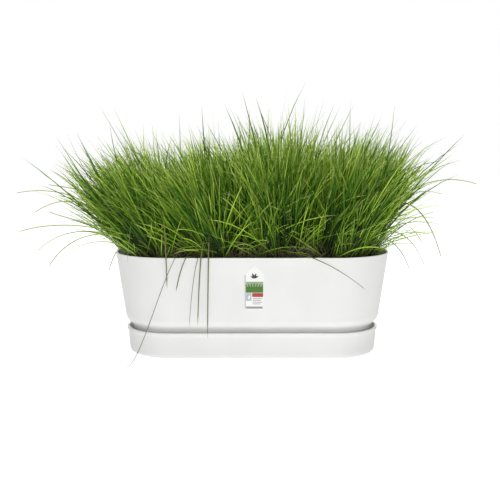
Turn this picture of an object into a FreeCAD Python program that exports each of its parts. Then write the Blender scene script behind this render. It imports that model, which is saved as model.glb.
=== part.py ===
"""Indoor herb planter: a moulded trough with rounded ends on a deep saucer, planted with grass.

Millimetres, +Z up, +X along the trough, the front towards -Y. The origin is the middle of the
saucer's flat underside. Every wall is a constant distance from one spine, the straight line
between the centres of the two rounded ends, so outlines are given as radius and height.
"""
import FreeCAD, Part
import math
import os

Vector = FreeCAD.Vector

# Overall sizes of the pot and saucer
overall_length = 500.0
overall_depth = 210.0
overall_height = 186.0

# Trough
trough_wall = 2.6
trough_floor = 3.0
trough_draft_deg = 7.95
knee_height = 64.0
ledge_inset = 12.6
ledge_drop = 12.7
knee_radius = 20.0
ledge_radius = 6.0
foot_radius = 5.0
rim_rounding = 1.0
drain_hole_diameter = 9.0
drain_row_offset = 24.0

# Saucer
saucer_height = 48.4
saucer_wall = 2.4
saucer_floor = 3.0
saucer_draft_deg = 4.0
saucer_corner_radius = 9.0
nest_gap = 7.6
lip_height = 6.0
lip_stand = 1.6
lip_rounding = 1.0
rib_height = 4.0
rib_width = 3.0
rib_margin = 9.0
rib_count = 5

# Longest flat in a rounded corner
flat_length = 7.0

# Front label
label_width = 33.2
label_height = 82.8
label_gable = 17.7
label_thickness = 0.4
label_drop = 12.0
label_offset = 3.6

# Compost and root balls
soft_gap = 0.3
soil_below_rim = 12.0
plant_columns = 4
plant_gap = 4.0
row_gap = 10.0
row_stagger = 8.0
bed_margin = 13.4
bed_end_margin = 7.0
root_taper = 10.0
root_height = 80.0
plug_sides = 12
soil_sides = 28

# Plants: a crown of packed stems, with leaves that lean with their place in the trough
crown_margin = 7.0
crown_taper = 3.0
crown_height = 9.0
stem_margin = 5.0
leaves_per_plant = 26
leaf_height = 262.0
leaf_width = 5.0
leaf_thickness = 1.9
leaf_sway = 5.0
golden_turn = math.pi * (3.0 - math.sqrt(5.0))
length_lean_share = 0.31
left_lean_share = 0.05
depth_lean_share = 0.18
spread_share = 1.62
end_height_loss_share = 0.16
short_leaf_share = 0.68
tall_leaf_share = 1.22
leaf_profile_shares = ((0.0, 1.0), (0.56, 0.85))

# Arching leaves: the plant that each grows from and its direction in degrees from +X, then its
# reach, its rise and the height of its tip above the compost, as shares of the leaf height
arch_width = 3.4
arch_thickness = 1.6
arch_steps = 5
arch_knee_shares = (0.3, 0.75)
arch_width_shares = (0.8, 1.0, 1.0, 0.85, 0.55)
front_arch_shares = (
    (2, 221.0, 0.62, 0.47, -0.60),
    (1, 287.0, 0.18, 0.56, -0.06),
    (2, 234.0, 0.31, 0.12, -0.14),
    (2, 249.0, 0.21, 0.27, -0.40),
    (2, 244.0, 0.27, 0.14, -0.40),
    (2, 260.0, 0.20, 0.47, -0.48),
    (2, 340.0, 0.91, 0.12, -0.15),
)
left_arch_shares = (
    (1, 175.0, 0.86, 0.50, 0.45),
    (5, 173.0, 0.78, 0.46, 0.49),
    (1, 189.0, 0.69, 0.47, 0.33),
    (5, 183.0, 0.96, 0.24, 0.16),
    (1, 201.0, 0.60, 0.28, 0.36),
    (1, 208.0, 0.71, 0.28, 0.10),
    (5, 160.0, 0.91, 0.18, -0.17),
    (1, 222.0, 0.58, 0.20, 0.10),
    (1, 242.0, 0.22, 0.47, 0.02),
    (5, 149.0, 0.46, 0.14, -0.20),
)
right_arch_shares = (
    (8, 6.0, 0.87, 0.57, 0.49),
    (4, 350.0, 0.57, 0.53, 0.00),
    (4, 328.0, 0.40, 0.23, -0.05),
    (8, 20.0, 0.57, 0.21, -0.16),
    (8, 35.0, 0.69, 0.27, 0.01),
    (4, 338.0, 0.57, 0.51, 0.47),
)

# Sizes worked out from the ones above
rim_radius = overall_depth / 2
spine_half = (overall_length - overall_depth) / 2
trough_slope = math.tan(math.radians(trough_draft_deg))
saucer_slope = math.tan(math.radians(saucer_draft_deg))
trough_base = saucer_floor + rib_height
ledge_height = knee_height - ledge_drop
knee_wall_radius = rim_radius - (overall_height - knee_height) * trough_slope
ledge_wall_radius = knee_wall_radius - ledge_inset
foot_wall_radius = ledge_wall_radius - (ledge_height - trough_base) * trough_slope
soil_top = overall_height - soil_below_rim
soil_base = trough_base + trough_floor + soft_gap
nest_radius = ledge_wall_radius - (ledge_height - saucer_height) * trough_slope + nest_gap
saucer_top_radius = nest_radius + saucer_wall
saucer_base_radius = saucer_top_radius - saucer_height * saucer_slope
saucer_inner_base_radius = nest_radius - (saucer_height - saucer_floor) * saucer_slope
lip_radius = saucer_top_radius + lip_stand
rib_pitch = 2 * spine_half / (rib_count - 1)

# The bed of compost takes two rows of plants: the root balls fill its depth, and the last ones
# of each row stand in its rounded ends
bed_inset = (trough_wall + soft_gap) / math.cos(math.radians(trough_draft_deg))
bed_radius = rim_radius - soil_below_rim * trough_slope - bed_inset
root_room = (bed_radius - bed_margin - row_gap / 2) / 2
row_pitch = 2 * root_room + row_gap
end_reach = math.sqrt((bed_radius - bed_end_margin - root_room) ** 2 - (row_pitch / 2) ** 2)
plant_pitch = 2 * (spine_half + end_reach - row_stagger) / (plant_columns - 1)
root_top_radius = min(root_room, (plant_pitch - plant_gap) / 2)
root_base_radius = root_top_radius - root_taper
crown_radius = root_top_radius - crown_margin
stem_ring_radius = crown_radius - stem_margin


def shifted_lines(points, distance):
    """Moves an outline that runs down a wall towards the spine by a distance."""
    moved = []
    for start, end in zip(points, points[1:]):
        along = (end - start).normalize()
        moved.append((start + Vector(along.z, 0, -along.x) * distance, along))
    result = [moved[0][0]]
    for (point_a, way_a), (point_b, way_b) in zip(moved, moved[1:]):
        cross = way_a.x * way_b.z - way_a.z * way_b.x
        gap = point_b - point_a
        result.append(point_a + way_a * ((gap.x * way_b.z - gap.z * way_b.x) / cross))
    last_start, last_way = moved[-1]
    result.append(last_start + last_way * (points[-1] - points[-2]).Length)
    return result


def rounded_outline(points, radii):
    """Rounds each corner of an outline in the XZ plane that has a radius.

    A round is made of flats between points of its arc, none longer than the flat length.
    """
    outline = [points[0]]
    for before, corner, after, radius in zip(points, points[1:], points[2:], radii):
        back = (before - corner).normalize()
        ahead = (after - corner).normalize()
        half_angle = back.getAngle(ahead) / 2
        room = min((before - corner).Length, (after - corner).Length) / 2
        reach = min(radius / math.tan(half_angle), room)
        if reach > 0:
            radius = reach * math.tan(half_angle)
            inward = (back + ahead).normalize()
            middle = corner + inward * (radius / math.sin(half_angle) - radius)
            arc = Part.Arc(corner + back * reach, middle, corner + ahead * reach)
            outline += arc.discretize(math.ceil(arc.length() / flat_length) + 1)
        else:
            outline.append(corner)
    return outline + [points[-1]]


def spine_solid(points, radii):
    """Solid whose walls follow the spine: two turned ends and a straight middle.

    The outline is half a cross section, and it starts and ends over the spine.
    """
    centre = Vector(0, 0, 0)
    upright = Vector(0, 0, 1)
    section = flat_face(rounded_outline(points, radii))
    section.rotate(centre, upright, -90)
    right = section.revolve(centre, upright, 180)
    right.translate(Vector(spine_half, 0, 0))
    left = right.mirror(centre, Vector(1, 0, 0))
    section.translate(Vector(-spine_half, 0, 0))
    front = section.extrude(Vector(2 * spine_half, 0, 0))
    back = front.mirror(centre, Vector(0, 1, 0))
    return left.fuse([front, back, right]).removeSplitter()


def flat_face(corners):
    """Flat face through its corners."""
    return Part.Face(Part.makePolygon(corners + [corners[0]]))


def closed_solid(faces):
    """Solid from flat faces that meet edge to edge."""
    solid = Part.makeSolid(Part.makeShell(faces))
    if solid.Volume < 0:
        solid.reverse()
    return solid


def many_sided_solid(centre, levels, half_length, sides):
    """Upright solid with flat sides, from its radius and height at each level, base first.

    Its two ends are half a circle each, parted by twice the half length.
    """
    rings = []
    for radius, rise in levels:
        ring = []
        for number in range(sides):
            turn = 2 * math.pi * (number + 1 / 2) / sides
            end = math.copysign(half_length, math.cos(turn))
            ring.append(centre + Vector(end + radius * math.cos(turn), radius * math.sin(turn), rise))
        rings.append(ring)
    faces = [flat_face(rings[0]), flat_face(rings[-1])]
    for lower, upper in zip(rings, rings[1:]):
        for number in range(sides):
            following = (number + 1) % sides
            faces.append(flat_face([lower[number], lower[following],
                                    upper[following], upper[number]]))
    return closed_solid(faces)


def trough_wall_line(inset, floor_height, top_height):
    """Corners of the trough's wall moved in by an inset, from a top height to a floor height."""
    outer = [
        Vector(rim_radius, 0, overall_height),
        Vector(knee_wall_radius, 0, knee_height),
        Vector(ledge_wall_radius, 0, ledge_height),
        Vector(foot_wall_radius, 0, trough_base),
    ]
    moved = shifted_lines(outer, inset)
    rim, knee, ledge = moved[:3]
    top = Vector(rim.x - (rim.z - top_height) * trough_slope, 0, top_height)
    floor = Vector(ledge.x - (ledge.z - floor_height) * trough_slope, 0, floor_height)
    radii = [knee_radius - inset, ledge_radius + inset, foot_radius - inset]
    return [top, knee, ledge, floor], radii


def make_saucer():
    """Deep tray with a lip that stands proud of its wall, and ribs that carry the trough."""
    lip_base = saucer_height - lip_height
    wall_at_lip = saucer_top_radius - lip_height * saucer_slope
    points = [
        Vector(0, 0, saucer_floor),
        Vector(saucer_inner_base_radius, 0, saucer_floor),
        Vector(nest_radius, 0, saucer_height),
        Vector(lip_radius, 0, saucer_height),
        Vector(lip_radius, 0, lip_base),
        Vector(wall_at_lip, 0, lip_base),
        Vector(saucer_base_radius, 0, 0),
        Vector(0, 0, 0),
    ]
    inner_corner = saucer_corner_radius - saucer_wall
    radii = [inner_corner, lip_rounding, lip_rounding, lip_rounding, 0, saucer_corner_radius]
    return spine_solid(points, radii).fuse(make_ribs())


def make_ribs():
    """Cross bars with round ends that stand on the saucer's floor."""
    reach = foot_wall_radius - rib_margin
    ribs = []
    for number in range(rib_count):
        middle = -spine_half + number * rib_pitch
        bar = Part.makeBox(rib_width, 2 * reach, rib_height,
                           Vector(middle - rib_width / 2, -reach, saucer_floor))
        ends = [Part.makeCylinder(rib_width / 2, rib_height, Vector(middle, side * reach, saucer_floor))
                for side in (-1, 1)]
        ribs.append(bar.fuse(ends).removeSplitter())
    return ribs


def make_trough():
    """Moulded pot with a stepped foot, an even wall and drain holes between the saucer's ribs."""
    floor_height = trough_base + trough_floor
    outside, outside_radii = trough_wall_line(0, trough_base, overall_height)
    inside, inside_radii = trough_wall_line(trough_wall, floor_height, overall_height)
    points = [Vector(0, 0, floor_height)] + inside[::-1] + outside + [Vector(0, 0, trough_base)]
    radii = inside_radii[::-1] + [rim_rounding, rim_rounding] + outside_radii
    holes = []
    for number in range(rib_count - 1):
        middle = -spine_half + (number + 1 / 2) * rib_pitch
        side = (-1) ** number
        holes.append(Part.makeCylinder(drain_hole_diameter / 2, trough_floor,
                                       Vector(middle, side * drain_row_offset, trough_base)))
    return spine_solid(points, radii).cut(holes)


def make_label():
    """Thin plate with a gabled top, flat against the front wall."""
    draft = math.radians(trough_draft_deg)
    down = Vector(0, math.sin(draft), -math.cos(draft))
    outward = Vector(0, -math.cos(draft), -math.sin(draft))
    apex = Vector(label_offset, -rim_radius, overall_height) + down * label_drop
    half = Vector(label_width / 2, 0, 0)
    corners = [
        apex,
        apex + down * label_gable + half,
        apex + down * label_height + half,
        apex + down * label_height - half,
        apex + down * label_gable - half,
        apex,
    ]
    return Part.Face(Part.makePolygon(corners)).extrude(outward * label_thickness)


def plant_centres():
    """Middle of each plant: the front row from the left, then the back row."""
    centres = []
    for row in (-1, 1):
        for column in range(plant_columns):
            along = (column - (plant_columns - 1) / 2) * plant_pitch + row * row_stagger
            centres.append(Vector(along, row * row_pitch / 2, soil_top))
    return centres


def root_plug(centre, clearance):
    """Tapered root ball under a plant, grown by a clearance all round."""
    levels = [(root_base_radius + clearance, -root_height), (root_top_radius + clearance, 0)]
    return many_sided_solid(centre, levels, 0, plug_sides)


def make_soil():
    """Compost that fills the trough, with a planting hole for each root ball."""
    wall, radii = trough_wall_line(trough_wall + soft_gap, soil_base, soil_top)
    outline = rounded_outline(wall + [Vector(0, 0, soil_base)], radii)
    levels = [(corner.x, corner.z) for corner in reversed(outline[:-1])]
    block = many_sided_solid(Vector(0, 0, 0), levels, spine_half, soil_sides)
    return block.cut([root_plug(centre, soft_gap) for centre in plant_centres()])


def leaf_solid(spine, side, widths, thickness_ratio):
    """Three-sided leaf with a level root that narrows to a point, on the points of its spine."""
    rings = []
    for number, width in enumerate(widths):
        ahead = spine[number + 1] - spine[number - 1] if number else Vector(0, 0, 1)
        out = side.cross(ahead).normalize()
        half = side * (width / 2)
        rings.append([spine[number] - half, spine[number] + half,
                      spine[number] + out * (width * thickness_ratio)])
    faces = [flat_face(rings[0])]
    for lower, upper in zip(rings, rings[1:]):
        for corner in range(3):
            following = (corner + 1) % 3
            faces.append(flat_face([lower[corner], lower[following], upper[following]]))
            faces.append(flat_face([lower[corner], upper[following], upper[corner]]))
    for corner in range(3):
        faces.append(flat_face([rings[-1][corner], rings[-1][(corner + 1) % 3], spine[-1]]))
    return closed_solid(faces)


def crown_leaf(centre, number):
    """One upright leaf: its place in the crown, its lean with the plant and its own height."""
    radius = stem_ring_radius * math.sqrt((number + 1 / 2) / leaves_per_plant)
    turn = number * golden_turn
    offset = Vector(radius * math.cos(turn), radius * math.sin(turn), 0)
    along_share = centre.x / spine_half
    lean = Vector(length_lean_share * along_share - left_lean_share,
                  depth_lean_share * centre.y / (row_pitch / 2), 0)
    mix = (number * (golden_turn / math.pi)) % 1
    height = leaf_height * (1 - end_height_loss_share * along_share ** 2)
    height *= short_leaf_share + (1 - short_leaf_share) * mix
    if number == leaves_per_plant // 4:
        height = leaf_height * tall_leaf_share * (1 - end_height_loss_share * along_share ** 2)
    root = centre + Vector(0, 0, crown_height)
    sway_turn = turn + math.pi * mix
    sway = Vector(math.cos(sway_turn), math.sin(sway_turn), 0) * leaf_sway
    spine = []
    for share in [share for share, width in leaf_profile_shares] + [1.0]:
        rise = height * share
        climb = rise / leaf_height
        spine.append(root + lean * rise + offset * (1 + spread_share * climb)
                     + sway * climb ** 2 + Vector(0, 0, rise))
    side = Vector(-math.sin(turn), math.cos(turn), 0)
    widths = [leaf_width * width for share, width in leaf_profile_shares]
    return leaf_solid(spine, side, widths, leaf_thickness / leaf_width)


def make_plant(centre):
    """Crown of packed stems with its upright leaves, as one solid."""
    levels = [(crown_radius, 0), (crown_radius - crown_taper, crown_height)]
    crown = many_sided_solid(centre, levels, 0, plug_sides)
    return crown.fuse([crown_leaf(centre, number) for number in range(leaves_per_plant)])


def arching_leaf(centre, direction_deg, reach, rise, tip_height):
    """Long leaf that stands by the side of a crown, rises and bends over, on a cubic curve."""
    direction = math.radians(direction_deg)
    out = Vector(math.cos(direction), math.sin(direction), 0)
    up = Vector(0, 0, 1)
    start = centre + out * (crown_radius + soft_gap) + up * soft_gap
    controls = [
        start,
        start + out * (reach * arch_knee_shares[0]) + up * rise,
        start + out * (reach * arch_knee_shares[1]) + up * rise,
        start + out * reach + up * tip_height,
    ]
    curve = Part.BezierCurve()
    curve.setPoles(controls)
    spine = [curve.value(step / arch_steps) for step in range(arch_steps + 1)]
    side = Vector(-out.y, out.x, 0)
    widths = [arch_width * share for share in arch_width_shares]
    return leaf_solid(spine, side, widths, arch_thickness / arch_width)


def make_arches(arches, centres):
    """Group of arching leaves, each from its own place on a crown."""
    return Part.makeCompound([
        arching_leaf(centres[plant - 1], direction, reach * leaf_height, rise * leaf_height,
                     tip * leaf_height)
        for plant, direction, reach, rise, tip in arches
    ])


def build():
    """Every piece of the planter by its name."""
    centres = plant_centres()
    pieces = {
        "saucer": make_saucer(),
        "trough": make_trough(),
        "front_label": make_label(),
        "potting_soil": make_soil(),
    }
    for number, centre in enumerate(centres, start=1):
        pieces[f"root_ball_{number}"] = root_plug(centre, 0)
        pieces[f"grass_plant_{number}"] = make_plant(centre)
    pieces["arching_leaves_front"] = make_arches(front_arch_shares, centres)
    pieces["arching_leaves_left"] = make_arches(left_arch_shares, centres)
    pieces["arching_leaves_right"] = make_arches(right_arch_shares, centres)
    return pieces


def main():
    """Writes one file for each piece."""
    os.makedirs("parts", exist_ok=True)
    for name, shape in build().items():
        shape.exportStep(f"parts/{name}.step")
        box = shape.BoundBox
        print(f"{name}: solids {len(shape.Solids)}, valid {shape.isValid()}, volume {shape.Volume:.0f},"
              f" x {box.XMin:.1f} {box.XMax:.1f}, y {box.YMin:.1f} {box.YMax:.1f},"
              f" z {box.ZMin:.1f} {box.ZMax:.1f}")


if __name__ == "__main__":
    main()
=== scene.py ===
"""Looks of the indoor herb planter: a moulded trough on a deep saucer, planted with fine grass.

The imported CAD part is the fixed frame. Lengths in the classes are millimetres, as a maker gives
them, and MM turns them to Blender's metres where a mesh is made.
"""
import logging
import math
import random
from collections.abc import Callable
from dataclasses import dataclass, field
from enum import Enum

import bmesh
import bpy
from mathutils import Matrix, Quaternion, Vector


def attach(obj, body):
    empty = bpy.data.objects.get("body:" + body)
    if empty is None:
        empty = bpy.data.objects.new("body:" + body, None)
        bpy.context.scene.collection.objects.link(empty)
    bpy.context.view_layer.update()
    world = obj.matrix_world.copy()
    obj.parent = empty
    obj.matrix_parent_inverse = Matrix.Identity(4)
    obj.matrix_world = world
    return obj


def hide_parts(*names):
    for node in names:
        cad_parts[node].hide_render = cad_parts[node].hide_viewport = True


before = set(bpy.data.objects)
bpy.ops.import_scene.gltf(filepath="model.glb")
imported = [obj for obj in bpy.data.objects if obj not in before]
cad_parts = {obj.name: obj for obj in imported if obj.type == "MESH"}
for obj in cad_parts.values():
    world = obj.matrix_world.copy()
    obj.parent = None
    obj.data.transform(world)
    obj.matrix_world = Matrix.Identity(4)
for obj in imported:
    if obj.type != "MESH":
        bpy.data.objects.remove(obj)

MM = 0.001
# Points that are closer together than this are one point
MERGE = 0.01 * MM
# Sizes that several pieces share: the rim, half of the straight middle, and the wall's draft
RIM_OUT = 105.0
RIM_UP = 186.0
SPINE_HALF = 145.0
DRAFT_DEG = 7.95
LOG = logging.getLogger("planter")


def linear(code: str) -> tuple[float, float, float, float]:
    """Turns an sRGB hex colour to linear.

    Args:
        code: Colour such as "#8FB548".

    Returns:
        Linear red, green and blue, with an alpha of one.
    """
    shares = [int(code[at:at + 2], 16) / 255 for at in (1, 3, 5)]
    red, green, blue = [share / 12.92 if share <= 0.04045 else ((share + 0.055) / 1.055) ** 2.4
                        for share in shares]
    return red, green, blue, 1.0


def add_node(tree: bpy.types.NodeTree, kind: str, settings: dict | None = None,
             values: dict | None = None, links: dict | None = None,
             stops: tuple = ()) -> bpy.types.Node:
    """Adds a shader node with its settings, socket values and links.

    Args:
        tree: Node tree of the material.
        kind: Blender's type name of the node.
        settings: Properties to set on the node.
        values: Socket values by input name or number.
        links: Output sockets to link, by input name or number.
        stops: Places and hex colours of a colour ramp.

    Returns:
        The new node.
    """
    node = tree.nodes.new(kind)
    for name, value in (settings or {}).items():
        setattr(node, name, value)
    for socket, value in (values or {}).items():
        node.inputs[socket].default_value = value
    for socket, source in (links or {}).items():
        tree.links.new(source, node.inputs[socket])
    for number, (place, code) in enumerate(stops):
        ramp = node.color_ramp.elements
        stop = ramp[number] if number < 2 else ramp.new(place)
        stop.position = place
        stop.color = linear(code)
    return node


def new_material(name: str) -> tuple[bpy.types.Material, bpy.types.NodeTree]:
    """Makes a material with an empty Principled shader.

    Args:
        name: Name of the finish.

    Returns:
        The material and its node tree.
    """
    material = bpy.data.materials.new(name)
    material.use_nodes = True
    return material, material.node_tree


def dress_shader(tree: bpy.types.NodeTree, colour: bpy.types.NodeSocket, relief: bpy.types.NodeSocket,
                 depth_mm: float, strength: float, roughness: float, ior: float | None = None,
                 sunk: bool = False) -> bpy.types.Node:
    """Gives a material's shader its colour, its relief and its gloss.

    Args:
        tree: Node tree of the material.
        colour: Output that gives the colour.
        relief: Output that gives the height of the surface.
        depth_mm: Depth of the relief.
        strength: Share of the relief that shows.
        roughness: Roughness of the surface.
        ior: Index of refraction, where it isn't the shader's own.
        sunk: Whether high values of the relief lie low.

    Returns:
        The shader.
    """
    bump = add_node(tree, "ShaderNodeBump", settings={"invert": sunk},
                    values={"Strength": strength, "Distance": depth_mm * MM}, links={"Height": relief})
    shader = tree.nodes["Principled BSDF"]
    tree.links.new(colour, shader.inputs["Base Color"])
    tree.links.new(bump.outputs["Normal"], shader.inputs["Normal"])
    shader.inputs["Roughness"].default_value = roughness
    if ior:
        shader.inputs["IOR"].default_value = ior
    return shader


def root_lines(tree: bpy.types.NodeTree, spot: bpy.types.NodeSocket, spacing_mm: float, drift_mm: tuple,
               detail: float) -> bpy.types.NodeSocket:
    """Adds the wandering lines that fine roots follow over compost.

    Args:
        tree: Node tree of the material.
        spot: Output that gives the place on the piece.
        spacing_mm: Distance between the lines.
        drift_mm: How far they wander along each axis.
        detail: Detail of their bends.

    Returns:
        The output that gives the distance from the nearest line, as a share of the spacing.
    """
    bend = add_node(tree, "ShaderNodeTexNoise", values={"Scale": 1 / (3 * spacing_mm * MM), "Detail": detail},
                    links={"Vector": spot})
    wander = add_node(tree, "ShaderNodeVectorMath", settings={"operation": "MULTIPLY_ADD"},
                      values={1: tuple(drift * MM for drift in drift_mm)},
                      links={0: bend.outputs["Color"], 2: spot})
    cells = add_node(tree, "ShaderNodeTexVoronoi", settings={"feature": "DISTANCE_TO_EDGE"},
                     values={"Scale": 1 / (spacing_mm * MM)}, links={"Vector": wander.outputs[0]})
    return cells.outputs["Distance"]


@dataclass(frozen=True)
class MouldedPolypropylene:
    """Injection-moulded white polypropylene: an even warm white with a soft, slightly waxy sheen."""

    name: str = "moulded_polypropylene"
    colour: str = "#F4F4F2"
    shade: str = "#F0F0EE"
    roughness: float = 0.36
    ior: float = 1.49
    glow: float = 0.3
    glow_mm: float = 4.0
    cloud_mm: float = 90.0
    # Spark-eroded mould grain is about 0.05 mm and wouldn't show, so it is drawn at 0.8 mm
    grain_mm: float = 0.8
    grain_depth_mm: float = 0.012
    grain_strength: float = 0.5

    def material(self) -> bpy.types.Material:
        """Builds the finish.

        Returns:
            Its material.
        """
        material, tree = new_material(self.name)
        spot = add_node(tree, "ShaderNodeTexCoord").outputs["Object"]
        cloud = add_node(tree, "ShaderNodeTexNoise", links={"Vector": spot},
                         values={"Scale": 1 / (self.cloud_mm * MM), "Detail": 2.0})
        colour = add_node(tree, "ShaderNodeValToRGB", links={"Fac": cloud.outputs["Fac"]},
                          stops=((0.35, self.shade), (0.65, self.colour)))
        grain = add_node(tree, "ShaderNodeTexNoise", links={"Vector": spot},
                         values={"Scale": 1 / (self.grain_mm * MM), "Detail": 1.0})
        shader = dress_shader(tree, colour.outputs["Color"], grain.outputs["Fac"], self.grain_depth_mm,
                              self.grain_strength, self.roughness, self.ior)
        shader.inputs["Subsurface Weight"].default_value = self.glow
        shader.inputs["Subsurface Radius"].default_value = (self.glow_mm * MM,) * 3
        shader.inputs["Subsurface Scale"].default_value = 1.0
        return material


@dataclass(frozen=True)
class LeafFinish:
    """Leaf of a fine grass, read from its own UV map: U runs across the leaf, V from root to tip."""

    name: str
    dark_stops: tuple
    light_stops: tuple
    roughness: float = 0.42
    ior: float = 1.42
    veins: float = 5.0
    vein_depth_mm: float = 0.12
    vein_strength: float = 0.6

    def material(self) -> bpy.types.Material:
        """Builds the finish.

        Returns:
            Its material.
        """
        material, tree = new_material(self.name)
        place = add_node(tree, "ShaderNodeUVMap", settings={"uv_map": GrassMesh.uv_name})
        split = add_node(tree, "ShaderNodeSeparateXYZ", links={"Vector": place.outputs["UV"]})
        tint = add_node(tree, "ShaderNodeAttribute", settings={"attribute_name": GrassMesh.tint_name})
        dark, light = [add_node(tree, "ShaderNodeValToRGB", links={"Fac": split.outputs["Y"]}, stops=stops)
                       for stops in (self.dark_stops, self.light_stops)]
        mixed = add_node(tree, "ShaderNodeMix", settings={"data_type": "RGBA"},
                         links={0: tint.outputs["Fac"], 6: dark.outputs["Color"], 7: light.outputs["Color"]})
        turns = add_node(tree, "ShaderNodeMath", settings={"operation": "MULTIPLY"},
                         values={1: 2 * math.pi * self.veins}, links={0: split.outputs["X"]})
        vein = add_node(tree, "ShaderNodeMath", settings={"operation": "SINE"}, links={0: turns.outputs[0]})
        dress_shader(tree, mixed.outputs[2], vein.outputs[0], self.vein_depth_mm, self.vein_strength,
                     self.roughness, self.ior)
        return material


@dataclass(frozen=True)
class PottingCompost:
    """Peat-like potting compost: dark, crumbly and quite matt, with paler fibres in it."""

    name: str = "potting_compost"
    stops: tuple = ((0.3, "#15100B"), (0.62, "#35271B"), (0.8, "#5B4634"))
    root: str = "#8F7957"
    crumb_mm: float = 3.5
    crumb_depth_mm: float = 1.6
    crumb_strength: float = 1.0
    root_spacing_mm: float = 14.0
    root_drift_mm: tuple = (40.0, 40.0, 30.0)
    root_edge_shares: tuple = (0.01, 0.04)
    roots_below_mm: float = 166.0
    roughness: float = 0.95

    def roots(self, tree: bpy.types.NodeTree, spot: bpy.types.NodeSocket) -> bpy.types.NodeSocket:
        """Adds the threads of root on the sides of the block.

        Args:
            tree: Node tree of the material.
            spot: Output that gives the place on the block.

        Returns:
            The output that says how much of a root is there, from 0 to 1.
        """
        lines = root_lines(tree, spot, self.root_spacing_mm, self.root_drift_mm, detail=2.0)
        full, none = self.root_edge_shares
        thread = add_node(tree, "ShaderNodeMapRange", links={0: lines},
                          values={1: full, 2: none, 3: 1.0, 4: 0.0})
        height = add_node(tree, "ShaderNodeSeparateXYZ", links={"Vector": spot})
        below = add_node(tree, "ShaderNodeMath", settings={"operation": "LESS_THAN"},
                         values={1: self.roots_below_mm * MM}, links={0: height.outputs["Z"]})
        return add_node(tree, "ShaderNodeMath", settings={"operation": "MULTIPLY"},
                        links={0: thread.outputs[0], 1: below.outputs[0]}).outputs[0]

    def material(self) -> bpy.types.Material:
        """Builds the finish.

        Returns:
            Its material.
        """
        material, tree = new_material(self.name)
        spot = add_node(tree, "ShaderNodeTexCoord").outputs["Object"]
        roots = self.roots(tree, spot)
        crumb = add_node(tree, "ShaderNodeTexNoise", links={"Vector": spot},
                         values={"Scale": 1 / (self.crumb_mm * MM), "Detail": 6.0, "Roughness": 0.65})
        colour = add_node(tree, "ShaderNodeValToRGB", links={"Fac": crumb.outputs["Fac"]}, stops=self.stops)
        rooted = add_node(tree, "ShaderNodeMix", settings={"data_type": "RGBA"},
                          values={7: linear(self.root)}, links={0: roots, 6: colour.outputs["Color"]})
        raised = add_node(tree, "ShaderNodeMath", settings={"operation": "ADD"},
                          links={0: crumb.outputs["Fac"], 1: roots})
        dress_shader(tree, rooted.outputs[2], raised.outputs[0], self.crumb_depth_mm, self.crumb_strength,
                     self.roughness)
        return material


@dataclass(frozen=True)
class MattedRoots:
    """Fine pale roots matted over compost, as on a plant knocked out of its pot."""

    name: str = "matted_roots"
    compost: str = "#2A1E14"
    root: str = "#B49C78"
    spacing_mm: float = 7.0
    drift_mm: tuple = (30.0, 30.0, 30.0)
    depth_mm: float = 1.0
    strength: float = 0.8
    roughness: float = 0.9

    def material(self) -> bpy.types.Material:
        """Builds the finish.

        Returns:
            Its material.
        """
        material, tree = new_material(self.name)
        spot = add_node(tree, "ShaderNodeTexCoord").outputs["Object"]
        lines = root_lines(tree, spot, self.spacing_mm, self.drift_mm, detail=3.0)
        colour = add_node(tree, "ShaderNodeValToRGB", links={"Fac": lines},
                          stops=((0.03, self.root), (0.12, self.compost)))
        dress_shader(tree, colour.outputs["Color"], lines, self.depth_mm, self.strength, self.roughness,
                     sunk=True)
        return material


class LabelInk(Enum):
    """Colours that the label is printed in, and the dark of the painted shadow line along its left edge."""

    CARD = "#FDFDFB"
    LEAF = "#4E7A2B"
    FIELD = "#9DB58A"
    TERRACOTTA = "#B5452F"
    SKY = "#BBC4CF"
    # Dark print, and also the painted shadow line along the card's left edge
    LINE = "#3A3D3A"
    RULE = "#9C9E9A"


@dataclass(frozen=True)
class PrintedCard:
    """Satin printed card: a little gloss over flat ink, with a fine paper grain."""

    ink: LabelInk
    roughness: float = 0.33
    # The grain of card is about 0.2 mm and wouldn't show, so it is drawn at 1.2 mm
    grain_mm: float = 1.2
    grain_depth_mm: float = 0.05
    grain_strength: float = 0.2
    mottle: float = 0.08

    def material(self) -> bpy.types.Material:
        """Builds the finish of one ink.

        Returns:
            Its material.
        """
        material, tree = new_material(f"printed_card_{self.ink.name.lower()}")
        spot = add_node(tree, "ShaderNodeTexCoord").outputs["Object"]
        grain = add_node(tree, "ShaderNodeTexNoise", links={"Vector": spot},
                         values={"Scale": 1 / (self.grain_mm * MM), "Detail": 3.0})
        darker = add_node(tree, "ShaderNodeMix", settings={"data_type": "RGBA", "blend_type": "MULTIPLY"},
                          values={0: self.mottle, 6: linear(self.ink.value)},
                          links={7: grain.outputs["Color"]})
        dress_shader(tree, darker.outputs[2], grain.outputs["Fac"], self.grain_depth_mm, self.grain_strength,
                     self.roughness)
        return material


# Pale and dry at the root, then green, and yellower towards the tip. The darker lower leaf is painted shade
# of the dense mass, and the brighter upper leaf is painted light of backlit tops
FRESH_LEAF = LeafFinish(
    "grass_leaf",
    dark_stops=((0.0, "#46381F"), (0.16, "#182A06"), (0.45, "#1D4604"), (0.8, "#3F7A06"), (1.0, "#7C9C28")),
    light_stops=((0.0, "#B09A68"), (0.18, "#6E922A"), (0.5, "#ABE634"), (0.8, "#DAFC5C"), (1.0, "#E6F296")),
    roughness=0.5,
    ior=1.36,
)
# The long leaves over the rim, which start to dry from the tip
LONG_LEAF = LeafFinish(
    "long_grass_leaf",
    dark_stops=((0.0, "#667A2E"), (0.5, "#5A622C"), (1.0, "#605C38")),
    light_stops=((0.0, "#B4D45E"), (0.5, "#ACC662"), (1.0, "#B2B878")),
)
# Dry straw, dull and without green
DEAD_LEAF = LeafFinish(
    "dry_grass_leaf",
    dark_stops=((0.0, "#3B3320"), (1.0, "#5C5638")),
    light_stops=((0.0, "#8C8458"), (1.0, "#CBC69C")),
    roughness=0.8,
)


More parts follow.
